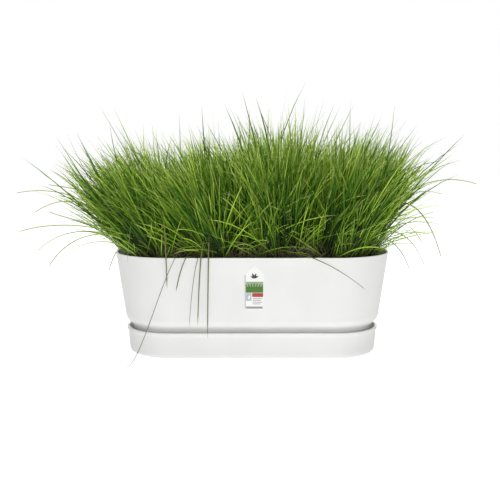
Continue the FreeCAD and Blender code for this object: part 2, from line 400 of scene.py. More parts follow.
def clear_selection() -> None:
    """Deselects every object, so that an operator acts on one piece alone."""
    if bpy.context.object and bpy.context.object.mode != "OBJECT":
        bpy.ops.object.mode_set(mode="OBJECT")
    bpy.ops.object.select_all(action="DESELECT")


def activate(piece: bpy.types.Object) -> None:
    """Makes one piece the only selected and active object."""
    clear_selection()
    piece.select_set(True)
    bpy.context.view_layer.objects.active = piece


def select_where(piece: bpy.types.Object, kind: str, test: Callable[..., bool]) -> None:
    """Selects the points, edges or faces of a piece in edit mode that pass a test.

    Args:
        piece: Active mesh object in edit mode.
        kind: "VERT", "EDGE" or "FACE".
        test: Function of one element that says whether to select it.
    """
    bpy.ops.mesh.select_mode(type=kind)
    bpy.ops.mesh.select_all(action="DESELECT")
    mesh = bmesh.from_edit_mesh(piece.data)
    elements = {"VERT": mesh.verts, "EDGE": mesh.edges, "FACE": mesh.faces}[kind]
    for element in [element for element in elements if test(element)]:
        element.select_set(True)
    mesh.select_flush_mode()
    bmesh.update_edit_mesh(piece.data)


def apply_modifier(piece: bpy.types.Object, kind: str, **settings) -> None:
    """Adds a modifier to the active piece, sets it and applies it."""
    modifier = piece.modifiers.new(kind.lower(), kind)
    for name, value in settings.items():
        setattr(modifier, name, value)
    bpy.ops.object.modifier_apply(modifier=modifier.name)


def close_mesh() -> None:
    """Merges the active piece's doubles and turns its faces outwards."""
    bpy.ops.object.mode_set(mode="EDIT")
    bpy.ops.mesh.select_all(action="SELECT")
    bpy.ops.mesh.remove_doubles(threshold=MERGE)
    bpy.ops.mesh.normals_make_consistent(inside=False)
    bpy.ops.object.mode_set(mode="OBJECT")


def finish_mesh(piece: bpy.types.Object, material: bpy.types.Material, smooth_deg: float) -> None:
    """Closes, smooths and dresses a piece.

    Args:
        piece: The piece.
        material: Its finish.
        smooth_deg: Greatest angle between two faces that still looks smooth.
    """
    activate(piece)
    close_mesh()
    bpy.ops.object.shade_smooth_by_angle(angle=math.radians(smooth_deg))
    piece.data.materials.clear()
    piece.data.materials.append(material)


def finish_moulding(piece: bpy.types.Object, material: bpy.types.Material) -> None:
    """Finishes a moulded shell, and keeps its flat runs flat beside the rounds."""
    finish_mesh(piece, material, smooth_deg=30.0)
    apply_modifier(piece, "WEIGHTED_NORMAL", keep_sharp=True)


def join_pieces(pieces: list[bpy.types.Object]) -> bpy.types.Object:
    """Joins pieces into the first one and returns it."""
    activate(pieces[0])
    for piece in pieces[1:]:
        piece.select_set(True)
    bpy.ops.object.join()
    return pieces[0]


def add_object(name: str, data: bpy.types.ID) -> bpy.types.Object:
    """Puts a new object with its data in the scene and returns it."""
    item = bpy.data.objects.new(name, data)
    bpy.context.scene.collection.objects.link(item)
    return item


def mesh_piece(name: str, points: list[tuple], faces: list[tuple],
               material: bpy.types.Material) -> bpy.types.Object:
    """Makes a dressed piece from its points and faces.

    Args:
        name: Name of the piece.
        points: Its points, in metres.
        faces: The numbers of the points of each face.
        material: Its finish.

    Returns:
        The piece, in the scene.
    """
    mesh = bpy.data.meshes.new(name)
    mesh.from_pydata(points, [], faces)
    mesh.materials.append(material)
    return add_object(name, mesh)


def tilted(tilt: float, heading: float) -> Vector:
    """Direction at a tilt from upright towards a heading, both in radians."""
    return Vector((math.sin(tilt) * math.cos(heading), math.sin(tilt) * math.sin(heading), math.cos(tilt)))


@dataclass
class Corner:
    """Corner of a half section: distance from the spine, height and radius of its round."""

    out: float
    up: float
    radius: float = 0.0


def inner_line(line: list[Corner], wall: float) -> list[Corner]:
    """Moves a line that runs down a wall towards the spine by the wall's thickness.

    Args:
        line: Corners from the rim down.
        wall: Thickness of the wall.

    Returns:
        The moved corners, with the last one still at the end of its run.
    """
    runs = []
    for start, end in zip(line, line[1:]):
        along = Vector((end.out - start.out, end.up - start.up)).normalized()
        runs.append((Vector((start.out, start.up)) + Vector((along.y, -along.x)) * wall, along))
    moved = [runs[0][0]]
    for (place_a, way_a), (place_b, way_b) in zip(runs, runs[1:]):
        gap = place_b - place_a
        cross = way_a.x * way_b.y - way_a.y * way_b.x
        moved.append(place_a + way_a * ((gap.x * way_b.y - gap.y * way_b.x) / cross))
    place, way = runs[-1]
    last = Vector((line[-1].out - line[-2].out, line[-1].up - line[-2].up)).length
    moved.append(place + way * last)
    return [Corner(point.x, point.y) for point in moved]


@dataclass
class SpineShell:
    """Turned form with a straight middle: its outline keeps its distance from a straight spine."""

    name: str
    outline: list[Corner]
    spine_half: float = SPINE_HALF
    end_steps: int = 48
    round_steps: int = 6
    # Most of a run that the round at one end of it may take
    run_share: float = 0.49

    def build(self) -> bpy.types.Object:
        """Models the form from its half section.

        Returns:
            The closed mesh object, in place and without a material.
        """
        clear_selection()
        bpy.ops.mesh.primitive_circle_add(vertices=len(self.outline), radius=MM)
        piece = bpy.context.object
        piece.name = self.name
        for point, corner in zip(piece.data.vertices, self.outline):
            point.co = Vector((self.spine_half, -corner.out, corner.up)) * MM
        bpy.ops.object.mode_set(mode="EDIT")
        select_where(piece, "EDGE", lambda edge: all(abs(point.co.y) < MERGE for point in edge.verts))
        bpy.ops.mesh.delete(type="EDGE")
        self.round_corners(piece)
        select_where(piece, "VERT", lambda point: True)
        bpy.ops.mesh.spin(steps=self.end_steps, angle=math.pi, center=(self.spine_half * MM, 0, 0),
                          axis=(0, 0, -1))
        bpy.ops.mesh.select_all(action="SELECT")
        bpy.ops.mesh.remove_doubles(threshold=MERGE)
        select_where(piece, "EDGE", lambda edge: edge.is_boundary)
        bpy.ops.mesh.extrude_edges_move(TRANSFORM_OT_translate={"value": (-self.spine_half * MM, 0, 0)})
        bpy.ops.object.mode_set(mode="OBJECT")
        apply_modifier(piece, "MIRROR", use_axis=(True, False, False), merge_threshold=MERGE)
        close_mesh()
        return piece

    def round_corners(self, piece: bpy.types.Object) -> None:
        """Rounds the corners of the section that have a radius, with a bevel on each point.

        Args:
            piece: The section as an open line, in edit mode.
        """
        for before, corner, after in zip(self.outline, self.outline[1:], self.outline[2:]):
            if not corner.radius:
                continue
            here = Vector((corner.out, corner.up))
            back = Vector((before.out, before.up)) - here
            ahead = Vector((after.out, after.up)) - here
            reach = corner.radius / math.tan(back.angle(ahead) / 2)
            reach = min(reach, self.run_share * back.length, self.run_share * ahead.length)
            place = Vector((self.spine_half, -corner.out, corner.up)) * MM
            select_where(piece, "VERT", lambda point: (point.co - place).length < 2 * MERGE)
            bpy.ops.mesh.bevel(offset=reach * MM, offset_type="ABSOLUTE", segments=self.round_steps,
                               affect="VERTICES")


@dataclass
class Trough:
    """The pot: a drafted wall with a knee and a recessed foot, an even thickness and drain holes."""

    rim_out: float = RIM_OUT
    rim_up: float = RIM_UP
    base_up: float = 7.0
    draft_deg: float = DRAFT_DEG
    knee_up: float = 64.0
    ledge_inset: float = 12.6
    ledge_drop: float = 12.7
    knee_radius: float = 20.0
    ledge_radius: float = 6.0
    foot_radius: float = 5.0
    rim_rounding: float = 1.0
    wall: float = 2.6
    floor: float = 3.0
    hole_radius: float = 4.5
    hole_offset: float = 24.0
    hole_sides: int = 32
    holes: int = 4
    spine_half: float = SPINE_HALF

    def wall_line(self) -> list[Corner]:
        """Works out the outside of the wall.

        Returns:
            Its corners from the rim down to the base.
        """
        slope = math.tan(math.radians(self.draft_deg))
        ledge_up = self.knee_up - self.ledge_drop
        knee_out = self.rim_out - (self.rim_up - self.knee_up) * slope
        ledge_out = knee_out - self.ledge_inset
        return [
            Corner(self.rim_out, self.rim_up, self.rim_rounding),
            Corner(knee_out, self.knee_up, self.knee_radius),
            Corner(ledge_out, ledge_up, self.ledge_radius),
            Corner(ledge_out - (ledge_up - self.base_up) * slope, self.base_up, self.foot_radius),
        ]

    def build(self, material: bpy.types.Material) -> bpy.types.Object:
        """Models the pot.

        Args:
            material: Finish of the pot.

        Returns:
            The finished piece.
        """
        slope = math.tan(math.radians(self.draft_deg))
        outside = self.wall_line()
        inside = inner_line(outside, self.wall)
        rim, knee, ledge = inside[:3]
        floor_up = self.base_up + self.floor
        inside = [
            Corner(rim.out + (rim.up - self.rim_up) * slope, self.rim_up, self.rim_rounding),
            Corner(knee.out, knee.up, self.knee_radius - self.wall),
            Corner(ledge.out, ledge.up, self.ledge_radius + self.wall),
            Corner(ledge.out - (ledge.up - floor_up) * slope, floor_up, self.foot_radius - self.wall),
        ]
        outline = [Corner(0, floor_up)] + inside[::-1] + outside + [Corner(0, self.base_up)]
        piece = SpineShell("trough_shell", outline, self.spine_half).build()
        self.drill(piece)
        finish_moulding(piece, material)
        return piece

    def drill(self, piece: bpy.types.Object) -> None:
        """Cuts the drain holes through the floor, on alternate sides of the middle line.

        Args:
            piece: The pot's shell.
        """
        pitch = 2 * self.spine_half / self.holes
        for number in range(self.holes):
            along = -self.spine_half + (number + 1 / 2) * pitch
            side = (-1) ** number
            middle = (along * MM, side * self.hole_offset * MM, (self.base_up + self.floor / 2) * MM)
            clear_selection()
            bpy.ops.mesh.primitive_cylinder_add(vertices=self.hole_sides, radius=self.hole_radius * MM,
                                                depth=4 * self.floor * MM, location=middle)
            drill = bpy.context.object
            activate(piece)
            apply_modifier(piece, "BOOLEAN", object=drill, operation="DIFFERENCE", solver="EXACT")
            bpy.data.objects.remove(drill)


@dataclass
class Saucer:
    """Deep tray with a lip that stands proud in a fine step, and low ribs that carry the trough."""

    height: float = 48.4
    top_out: float = 84.95
    wall: float = 2.4
    floor: float = 3.0
    draft_deg: float = 4.0
    corner_radius: float = 9.0
    lip_height: float = 6.0
    lip_stand: float = 1.6
    lip_rounding: float = 1.0
    rib_height: float = 4.0
    rib_width: float = 3.0
    rib_reach: float = 60.1
    rib_round_steps: int = 3
    ribs: int = 5
    spine_half: float = SPINE_HALF

    def build(self, material: bpy.types.Material) -> bpy.types.Object:
        """Models the saucer.

        Args:
            material: Finish of the saucer.

        Returns:
            The finished piece.
        """
        slope = math.tan(math.radians(self.draft_deg))
        nest = self.top_out - self.wall
        lip_out = self.top_out + self.lip_stand
        lip_base = self.height - self.lip_height
        outline = [
            Corner(0, self.floor),
            Corner(nest - (self.height - self.floor) * slope, self.floor, self.corner_radius - self.wall),
            Corner(nest, self.height, self.lip_rounding),
            Corner(lip_out, self.height, self.lip_rounding),
            Corner(lip_out, lip_base, self.lip_rounding),
            Corner(self.top_out - self.lip_height * slope, lip_base),
            Corner(self.top_out - self.height * slope, 0, self.corner_radius),
            Corner(0, 0),
        ]
        piece = SpineShell("saucer_tray", outline, self.spine_half).build()
        finish_moulding(piece, material)
        return join_pieces([piece] + [self.rib(number, material) for number in range(self.ribs)])

    def rib(self, number: int, material: bpy.types.Material) -> bpy.types.Object:
        """Models one cross bar, sunk a little into the floor and rounded along its top.

        Args:
            number: Number of the bar, counted from the left.
            material: Finish of the saucer.

        Returns:
            The finished bar.
        """
        along = -self.spine_half + number * 2 * self.spine_half / (self.ribs - 1)
        sunk = self.floor / 3
        clear_selection()
        bpy.ops.mesh.primitive_cube_add(size=1.0)
        bar = bpy.context.object
        bar.data.transform(Matrix.Diagonal((self.rib_width * MM, 2 * self.rib_reach * MM,
                                            (self.rib_height + sunk) * MM, 1.0)))
        middle = Vector((along, 0, self.floor + (self.rib_height - sunk) / 2)) * MM
        bar.data.transform(Matrix.Translation(middle))
        bpy.ops.object.mode_set(mode="EDIT")
        top = (self.floor + self.rib_height / 2) * MM
        select_where(bar, "EDGE", lambda edge: max(point.co.z for point in edge.verts) > top)
        bpy.ops.mesh.bevel(offset=self.rib_width / 4 * MM, segments=self.rib_round_steps)
        bpy.ops.object.mode_set(mode="OBJECT")
        finish_mesh(bar, material, smooth_deg=40.0)
        return bar


@dataclass
class FrontLabel:
    """Printed card with a gabled top on the front wall, in a plain design of the maker's own."""

    width: float = 33.2
    height: float = 82.8
    gable: float = 17.7
    card: float = 0.4
    ink: float = 0.06
    drop: float = 12.0
    offset: float = 3.6
    rim_out: float = RIM_OUT
    rim_up: float = RIM_UP
    draft_deg: float = DRAFT_DEG
    rounding: float = 0.8
    round_steps: int = 5
    left_margin: float = 1.6
    right_margin: float = 1.2
    # A dark strip along the card's left edge is painted shadow of the edge
    shadow_line_inset: float = 0.2
    shadow_line_width: float = 0.7
    shadow_line_ends: tuple = (1.0, 2.0)
    field_top: float = 31.0
    meadow_top: float = 40.0
    field_foot: float = 51.0
    block_top: float = 51.6
    terracotta_left: float = -4.0
    terracotta_foot: float = 59.0
    terracotta_rounding: float = 1.2
    sky_right: float = -5.0
    sky_foot: float = 66.0
    sky_rounding: float = 0.6
    # Turn and length of each leaf of the sprig
    sprig: tuple = ((-58.0, 8.0), (-22.0, 10.5), (18.0, 10.0), (55.0, 8.5))
    sprig_foot: float = 25.0
    blades: int = 7
    blade_inset: float = 4.0
    blade_pitch: float = 4.1
    blade_foot: float = 42.0
    blade_length: float = 9.0
    blade_loss: float = 0.8
    blade_fan_deg: float = 9.0
    rules: int = 4
    rule_left: float = -3.0
    rule_margin: float = 2.5
    rule_ragged: float = 3.0
    rule_top: float = 61.5
    rule_pitch: float = 3.2
    rule_height: float = 1.2
    # Across, down, length and turn of the leaf on the pale block
    pale_leaf: tuple = (-10.0, 64.0, 9.0, 12.0)
    bar_margin: float = 2.0
    bar_top: float = 76.5
    bar_foot: float = 80.5
    leaf_half_share: float = 0.17
    leaf_steps: int = 10
    pieces: list = field(default_factory=list)

    def flat_shape(self, ink: LabelInk, points: list[tuple[float, float]], base: float, thickness: float,
                   rounding: float = 0.0) -> None:
        """Models one flat printed shape from its outline, in the label's own plane.

        Args:
            ink: Colour of the shape.
            points: Outline as across and down, from the apex.
            base: Height of its underside over the wall.
            thickness: Thickness of the shape.
            rounding: Radius of its corners.
        """
        clear_selection()
        bpy.ops.mesh.primitive_circle_add(vertices=len(points), radius=MM, fill_type="NGON")
        shape = bpy.context.object
        for point, (across, down) in zip(shape.data.vertices, points):
            point.co = Vector((across, -base, -down)) * MM
        bpy.ops.object.mode_set(mode="EDIT")
        if rounding:
            bpy.ops.mesh.select_all(action="SELECT")
            bpy.ops.mesh.bevel(offset=rounding * MM, segments=self.round_steps, affect="VERTICES")
        bpy.ops.mesh.select_all(action="SELECT")
        bpy.ops.mesh.extrude_region_move(TRANSFORM_OT_translate={"value": (0, -thickness * MM, 0)})
        bpy.ops.object.mode_set(mode="OBJECT")
        finish_mesh(shape, PrintedCard(ink).material(), smooth_deg=20.0)
        self.pieces.append(shape)

    def box_shape(self, ink: LabelInk, left: float, top: float, right: float, bottom: float,
                  layer: int = 1, rounding: float = 0.0) -> None:
        """Models one printed rectangle on a layer over the card."""
        self.flat_shape(ink, [(left, top), (right, top), (right, bottom), (left, bottom)],
                        self.card + (layer - 1) * self.ink, self.ink, rounding)

    def leaf_shape(self, ink: LabelInk, across: float, down: float, length: float, turn_deg: float,
                   layer: int) -> None:
        """Models one pointed leaf.

        Args:
            ink: Colour of the leaf.
            across: Where it starts, from the card's middle line.
            down: Where it starts, from the apex.
            length: Length of the leaf.
            turn_deg: Its turn from upright.
            layer: Its layer over the card.
        """
        turn = math.radians(turn_deg)
        half = []
        for number in range(self.leaf_steps + 1):
            share = number / self.leaf_steps
            half.append((share * length, length * self.leaf_half_share * math.sin(math.pi * share)))
        outline = half + [(rise, -out) for rise, out in reversed(half[1:-1])]
        points = [(across + rise * math.sin(turn) + out * math.cos(turn),
                   down - rise * math.cos(turn) + out * math.sin(turn)) for rise, out in outline]
        self.flat_shape(ink, points, self.card + (layer - 1) * self.ink, self.ink)

    def build(self) -> bpy.types.Object:
        """Models the card, its print and a painted shadow line along its left edge, and lays them on the
        wall.

        Returns:
            The finished piece.
        """
        half = self.width / 2
        left, right = -half + self.left_margin, half - self.right_margin
        outline = [(0, 0), (half, self.gable), (half, self.height), (-half, self.height), (-half, self.gable)]
        self.flat_shape(LabelInk.CARD, outline, 0.0, self.card, self.rounding)
        # Painted shadow along the card's left edge, drawn as a dark strip
        line = -half + self.shadow_line_inset
        self.box_shape(LabelInk.LINE, line, self.gable + self.shadow_line_ends[0], line + self.shadow_line_width,
                       self.height - self.shadow_line_ends[1])
        self.box_shape(LabelInk.FIELD, left, self.field_top, right, self.field_foot)
        self.box_shape(LabelInk.LEAF, left, self.meadow_top, right, self.field_foot, 2)
        self.box_shape(LabelInk.TERRACOTTA, self.terracotta_left, self.block_top, right, self.terracotta_foot,
                       rounding=self.terracotta_rounding)
        self.box_shape(LabelInk.SKY, left, self.block_top, self.sky_right, self.sky_foot,
                       rounding=self.sky_rounding)
        for turn_deg, length in self.sprig:
            self.leaf_shape(LabelInk.LINE, 0, self.sprig_foot, length, turn_deg, 1)
        for number in range(self.blades):
            step = number - (self.blades - 1) / 2
            across = -half + self.blade_inset + number * self.blade_pitch
            length = self.blade_length - abs(step) * self.blade_loss
            self.leaf_shape(LabelInk.LEAF, across, self.blade_foot, length, step * self.blade_fan_deg, 2)
        for number in range(self.rules):
            top = self.rule_top + number * self.rule_pitch
            end = half - self.rule_margin - (number % 2) * self.rule_ragged
            self.box_shape(LabelInk.RULE, self.rule_left, top, end, top + self.rule_height)
        self.leaf_shape(LabelInk.CARD, *self.pale_leaf, 2)
        bar = half - self.bar_margin
        self.box_shape(LabelInk.RULE, -bar, self.bar_top, bar, self.bar_foot)
        piece = join_pieces(self.pieces)
        piece.name = "printed_label"
        draft = math.radians(self.draft_deg)
        down = Vector((0, math.sin(draft), -math.cos(draft)))
        apex = Vector((self.offset, -self.rim_out, self.rim_up)) + down * self.drop
        piece.data.transform(Matrix.Translation(apex * MM) @ Matrix.Rotation(draft, 4, "X"))
        return piece


@dataclass
class Leaf:
    """One leaf of grass, in millimetres.

    Its spine runs from root to tip, and it faces across its spine. Its twist turns it about its own
    length, in radians, and its tint goes from 0, dark, to 1, light.
    """

    spine: list[Vector]
    facing: Vector
    twist: float
    width: float
    tint: float


class GrassMesh:
    """Gathers closed three-sided leaves into one mesh, with a UV map and a tint for each leaf."""

    uv_name = "leaf"
    tint_name = "leaf_tint"

    def __init__(self) -> None:
        """Starts an empty mesh."""
        self.points: list[tuple[float, float, float]] = []
        self.faces: list[tuple[int, ...]] = []
        self.face_uvs: list[tuple[tuple[float, float], ...]] = []
        self.tints: list[float] = []

    def add_leaf(self, leaf: Leaf, keel_share: float, widths: tuple[float, ...]) -> None:
        """Adds one leaf that narrows to a point at the end of its spine.

        Args:
            leaf: The leaf to add.
            keel_share: How far the midrib stands out under the leaf, as a share of its width.
            widths: Share of the full width at each point of the spine but the tip.
        """
        first = len(self.points)
        spine, tint = leaf.spine, leaf.tint
        rings = len(spine) - 1
        for number in range(rings):
            ahead = (spine[number + 1] - spine[max(number - 1, 0)]).normalized()
            across = leaf.facing - ahead * leaf.facing.dot(ahead)
            across.normalize()
            across.rotate(Quaternion(ahead, leaf.twist * number / rings))
            across *= leaf.width * widths[number]
            rib = across.cross(ahead) * keel_share
            for point in (spine[number] - across / 2, spine[number] + across / 2, spine[number] + rib):
                self.points.append(tuple(point * MM))
        self.points.append(tuple(spine[-1] * MM))
        tip = len(self.points) - 1
        shares = (0.0, 1.0, 0.5)
        self.add_face((first, first + 1, first + 2), tuple((share, 0.0) for share in shares), tint)
        for number in range(rings):
            low, high = first + 3 * number, first + 3 * number + 3
            here, there = number / rings, (number + 1) / rings
            for corner, following in ((0, 1), (1, 2), (2, 0)):
                corners = (high + corner, high + following) if high < tip else (tip,)
                uvs = ((shares[corner], there), (shares[following], there)) if high < tip else ((0.5, 1.0),)
                self.add_face((low + following, low + corner) + corners,
                              ((shares[following], here), (shares[corner], here)) + uvs, tint)

    def add_face(self, corners: tuple[int, ...], uvs: tuple[tuple[float, float], ...], tint: float) -> None:
        """Adds one face with its UVs and its leaf's tint."""
        self.faces.append(corners)
        self.face_uvs.append(uvs)
        self.tints.append(tint)

    def piece(self, name: str, material: bpy.types.Material) -> bpy.types.Object:
        """Makes the mesh object.

        Args:
            name: Name of the piece.
            material: Finish of its leaves.

        Returns:
            The finished piece.
        """
        piece = mesh_piece(name, self.points, self.faces, material)
        mesh = piece.data
        uv_map = mesh.uv_layers.new(name=self.uv_name)
        uv_map.data.foreach_set("uv", [value for uvs in self.face_uvs for uv in uvs for value in uv])
        tint = mesh.attributes.new(self.tint_name, "FLOAT", "FACE")
        tint.data.foreach_set("value", self.tints)
        mesh.polygons.foreach_set("use_smooth", [True] * len(self.faces))
        mesh.update()
        return piece


@dataclass
class Planting:
    """Where plants stand and what their leaves have to keep clear of."""

    soil_up: float = 174.0
    rim_out: float = RIM_OUT
    rim_up: float = RIM_UP
    spine_half: float = SPINE_HALF
    wall_clear: float = 7.0
    rim_clear: float = 2.5
    columns: int = 4
    plant_pitch: float = 108.1
    row_pitch: float = 92.0
    row_stagger: float = 8.0
    reach: tuple = (438.0, 174.0)
    reach_power: float = 3.0
    reach_up: float = 504.0

    def centre(self, number: int) -> Vector:
        """Middle of a plant by its number: the front row from the left, then the back row."""
        row = -1 if number <= self.columns else 1
        column = (number - 1) % self.columns
        along = (column - (self.columns - 1) / 2) * self.plant_pitch + row * self.row_stagger
        return Vector((along, row * self.row_pitch / 2, self.soil_up))

    def out(self, point: Vector) -> float:
        """Distance of a point from the trough's spine."""
        return math.hypot(max(abs(point.x) - self.spine_half, 0.0), point.y)

    def is_clear(self, point: Vector) -> bool:
        """Says whether a place is within the planter's reach and clear of compost, wall and rim.

        Args:
            point: A place on a leaf.

        Returns:
            True where the leaf may be.
        """
        spread = sum(abs(place / most) ** self.reach_power for place, most in zip(point, self.reach))
        if spread > 1 or point.z > self.reach_up:
            return False
        if point.z > self.rim_up + self.rim_clear:
            return True
        out = self.out(point)
        if out > self.rim_out + self.rim_clear:
            return True
        return out < self.rim_out - self.wall_clear and point.z > self.soil_up - self.rim_clear

    def is_clear_along(self, spine: list[Vector], steps: int = 6) -> bool:
        """Says whether a leaf is clear at every point of its spine and between them."""
        between = [start.lerp(end, number / steps) for start, end in zip(spine, spine[1:])
                   for number in range(steps)]
        return all(self.is_clear(point) for point in between + spine[-1:])


@dataclass
class Tuft:
    """A close bunch of leaves: where it stands, its lean and length, and how light it is."""

    place: Vector
    lean: Vector
    length: float
    tint: float


@dataclass
class GrassPlant:
    """One plant of fine grass: about a thousand leaves in tufts, leaning as they do at its place."""

    number: int
    planting: Planting
    tufts: int = 32
    left_tufts: int = 21
    tuft_leaves: int = 42
    tuft_radius: float = 7.5
    tuft_spread: float = 0.07
    crown_radius: float = 47.0
    root_depth: float = 2.0
    length: float = 258.0
    short_share: float = 0.5
    short_power: float = 0.6
    tall_share: float = 1.17
    tall_part: float = 0.06
    stray_part: float = 0.11
    stray_width_share: float = 0.8
    stray_lean: tuple = (0.6, 0.45)
    stray_lean_front: float = -0.15
    stray_bend_deg: tuple = (5.0, 58.0)
    stray_length_shares: tuple = (0.65, 1.05)
    width: float = 2.3
    width_spread: float = 0.36
    tint: float = 0.28
    tint_spread: float = 0.42
    # Ordinary tuft leaves stay at or below this tint; strays are drawn above it as painted highlight
    tint_most: float = 0.75
    keel_share: float = 0.22
    lean_stops: tuple = ((-215.0, -0.50), (-100.0, -0.39), (0.0, -0.14), (100.0, 0.03), (215.0, 0.33))
    length_stops: tuple = ((-215.0, 0.78), (-130.0, 0.92), (-60.0, 0.84), (-20.0, 0.85), (40.0, 0.99),
                           (110.0, 0.91), (215.0, 0.87))
    rim_leaves: int = 44
    rim_out: tuple = (66.0, 90.0)
    rim_tilt_deg: tuple = (20.0, 58.0)
    rim_bend_deg: tuple = (0.0, 35.0)
    rim_length: tuple = (45.0, 120.0)
    rim_turn: float = 0.45
    rim_tint: tuple = (0.2, 1.0)
    depth_lean: float = 0.17
    lean_spread: float = 0.13
    bend_deg: float = 16.0
    bend_spread_deg: float = 15.0
    bend_power: float = 1.7
    heading_turn: float = 0.25
    twist: float = 0.8
    rings: int = 7
    widths: tuple = (0.55, 0.85, 1.0, 1.0, 0.95, 0.85, 0.62)

    @staticmethod
    def between(stops: tuple, along: float) -> float:
        """Value for a place along the trough, read between stops of place and value."""
        along = min(max(along, stops[0][0]), stops[-1][0])
        for (low, low_value), (high, high_value) in zip(stops, stops[1:]):
            if along <= high:
                break
        return low_value + (high_value - low_value) * ((along - low) / (high - low))

    def grow(self, root: Vector, tilt: float, heading: float, bend: float, turn: float,
             length: float) -> list[Vector]:
        """Grows a leaf's spine: it sets off at a tilt and bends further over towards its tip.

        Args:
            root: Where the leaf starts.
            tilt: Angle from upright at the root, in radians.
            heading: Direction of the tilt round the upright, in radians.
            bend: How much the tilt gains by the tip, in radians.
            turn: How much the heading turns by the tip, in radians.
            length: Length of the leaf.

        Returns:
            The points of the spine.
        """
        spine = [root.copy()]
        for number in range(self.rings):
            share = (number + 1) / self.rings
            step = tilted(tilt + bend * share ** self.bend_power, heading + turn * share)
            spine.append(spine[-1] + step * (length / self.rings))
        return spine

    def tuft(self, draw: random.Random, centre: Vector) -> Tuft:
        """Draws one tuft of the plant at random round its middle."""
        place = self.in_disc(draw, self.crown_radius) + centre
        lean = Vector((self.between(self.lean_stops, place.x),
                       self.depth_lean * place.y / (self.planting.row_pitch / 2), 0))
        lean += Vector((draw.gauss(0, self.lean_spread), draw.gauss(0, self.lean_spread), 0))
        length = self.length * self.between(self.length_stops, place.x) * draw.gauss(1, self.tuft_spread)
        return Tuft(place, lean, length, draw.gauss(self.tint, self.tint_spread / 2))

    @staticmethod
    def in_disc(draw: random.Random, radius: float) -> Vector:
        """Draws a level offset at random, even over a disc."""
        out, turn = radius * math.sqrt(draw.random()), draw.uniform(0, 2 * math.pi)
        return Vector((out * math.cos(turn), out * math.sin(turn), 0))

    def leaf(self, draw: random.Random, tuft: Tuft) -> Leaf:
        """Draws one leaf of a tuft at random.

        Args:
            draw: Source of the random draws.
            tuft: The tuft that the leaf belongs to.

        Returns:
            The leaf.
        """
        root = tuft.place + self.in_disc(draw, self.tuft_radius) - Vector((0, 0, self.root_depth))
        lean_x = tuft.lean.x + draw.gauss(0, self.lean_spread)
        lean_y = tuft.lean.y + draw.gauss(0, self.lean_spread)
        length_share = self.short_share + (1 - self.short_share) * draw.random() ** self.short_power
        length = tuft.length * length_share
        bend = math.radians(draw.gauss(self.bend_deg, self.bend_spread_deg))
        tint = min(draw.gauss(tuft.tint, self.tint_spread), self.tint_most)
        if draw.random() < self.tall_part:
            length = tuft.length * draw.uniform(1.0, self.tall_share)
        stray = draw.random() < self.stray_part
        if stray:
            lean_x += draw.gauss(0, self.stray_lean[0])
            lean_y += draw.gauss(self.stray_lean_front, self.stray_lean[1])
            bend = math.radians(draw.uniform(*self.stray_bend_deg))
            length *= draw.uniform(*self.stray_length_shares)
            # Strays are drawn lighter than the rest: painted highlight for the pale strands that cross the
            # mass
            tint = draw.uniform(self.tint_most, 1.0)
        spine = self.grow(root, math.atan(math.hypot(lean_x, lean_y)), math.atan2(lean_y, lean_x), bend,
                          draw.gauss(0, self.heading_turn), length)
        start = (spine[1] - spine[0]).normalized()
        facing = start.orthogonal()
        facing.rotate(Quaternion(start, draw.uniform(0, 2 * math.pi)))
        width = self.width * (1 + draw.uniform(-self.width_spread, self.width_spread))
        if stray:
            width *= self.stray_width_share
        return Leaf(spine, facing, draw.gauss(0, self.twist), width, max(tint, 0.0))

    def rim_leaf(self, draw: random.Random, centre: Vector) -> Leaf:
        """Draws one short leaf that leans out over the rim at the trough's rounded end.

        Args:
            draw: Source of the random draws.
            centre: Middle of the plant.

        Returns:
            The leaf.
        """
        side, row = math.copysign(1, centre.x), math.copysign(1, centre.y)
        turn = draw.uniform(0, math.pi / 2)
        out = Vector((side * math.cos(turn), row * math.sin(turn), 0))
        root = Vector((side * self.planting.spine_half, 0, centre.z - self.root_depth))
        root += out * draw.uniform(*self.rim_out)
        spine = self.grow(root, math.radians(draw.uniform(*self.rim_tilt_deg)),
                          math.atan2(out.y, out.x) + draw.gauss(0, self.rim_turn),
                          math.radians(draw.uniform(*self.rim_bend_deg)), draw.gauss(0, self.heading_turn),
                          draw.uniform(*self.rim_length))
        facing = Vector((-out.y, out.x, 0))
        return Leaf(spine, facing, draw.gauss(0, self.twist), self.width * self.stray_width_share,
                    draw.uniform(*self.rim_tint))

    def add_clear(self, mesh: GrassMesh, count: int, next_leaf: Callable[[], Leaf]) -> None:
        """Adds leaves to a mesh, and leaves out those that would run through the planter.

        Args:
            mesh: The plant's mesh.
            count: How many leaves to add.
            next_leaf: Function that draws a leaf.
        """
        made = 0
        while made < count:
            leaf = next_leaf()
            if self.planting.is_clear_along(leaf.spine):
                mesh.add_leaf(leaf, self.keel_share, self.widths)
                made += 1

    def build(self, material: bpy.types.Material) -> bpy.types.Object:
        """Models the plant's leaves.

        Args:
            material: Finish of the leaves.

        Returns:
            The finished piece.
        """
        draw = random.Random(self.number)
        mesh = GrassMesh()
        centre = self.planting.centre(self.number)
        tufts = self.left_tufts if centre.x < -self.planting.spine_half else self.tufts
        for tuft in [self.tuft(draw, centre) for _ in range(tufts)]:
            self.add_clear(mesh, self.tuft_leaves, lambda: self.leaf(draw, tuft))
        if abs(centre.x) > self.planting.spine_half:
            self.add_clear(mesh, self.rim_leaves, lambda: self.rim_leaf(draw, centre))
        return mesh.piece(f"grass_leaves_{self.number}", material)


